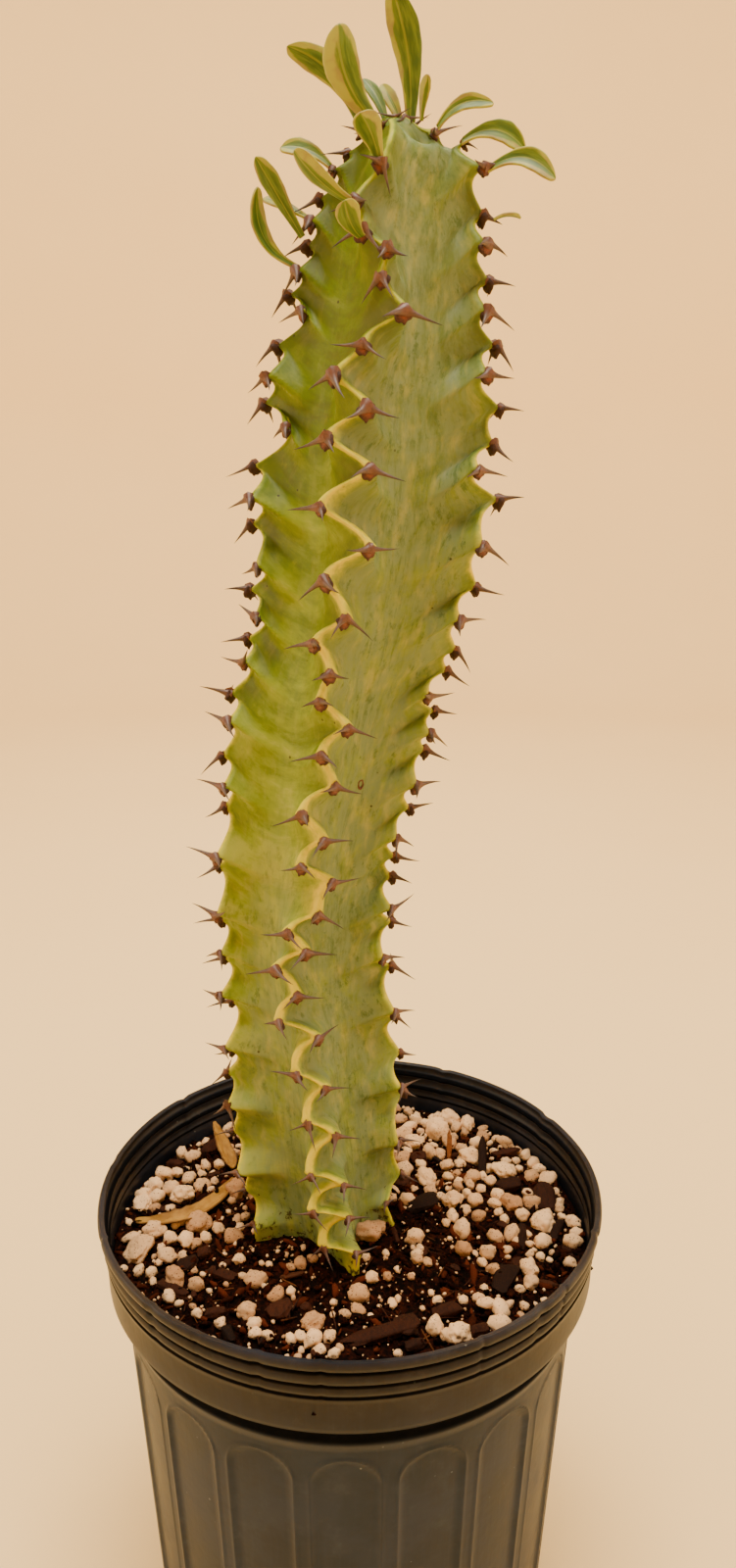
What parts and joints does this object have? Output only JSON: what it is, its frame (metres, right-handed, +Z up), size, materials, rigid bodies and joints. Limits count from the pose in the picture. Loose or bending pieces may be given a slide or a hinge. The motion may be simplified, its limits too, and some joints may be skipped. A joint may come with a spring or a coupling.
{
  "type": "potted variegated euphorbia ammak",
  "caption": "Tall ribbed succulent stem with zigzag spiny crests and young cream-edged leaves at its tip, standing in potting mix in a plain black nursery pot with arched side panels.",
  "frame": {"origin": "centre of the pot's base, where it stands on the floor", "axes": "+Z up along the pot's axis, -Y towards the front that the picture shows, +X to the right"},
  "size_m": [0.165, 0.165, 0.5106],
  "materials": {
    "pot": "satin black blow-moulded plastic, a little dusty",
    "soil": "loose dark potting mix with white perlite and brown bark",
    "stem": "satin yellow-green skin with paler crests and grey-green streaks, red-brown spine shields and brown spines",
    "leaf": "satin green with cream-yellow margins",
    "dry_leaf": "dry tan leaf"
  },
  "bodies": {
    "root": {"pot": "pot", "soil": "soil", "stem": "stem", "leaf_01": "leaf", "leaf_02": "leaf", "leaf_03": "leaf", "leaf_04": "leaf", "leaf_05": "leaf", "leaf_06": "leaf", "leaf_07": "leaf", "leaf_08": "leaf", "leaf_09": "leaf", "leaf_10": "leaf", "leaf_11": "leaf", "leaf_12": "leaf", "leaf_13": "leaf", "leaf_14": "leaf", "leaf_15": "leaf", "leaf_16": "leaf", "leaf_17": "leaf", "leaf_18": "leaf", "leaf_19": "leaf", "leaf_20": "leaf", "dry_leaf_long": "dry_leaf", "dry_leaf_curled": "dry_leaf"}
  },
  "joints": []
}
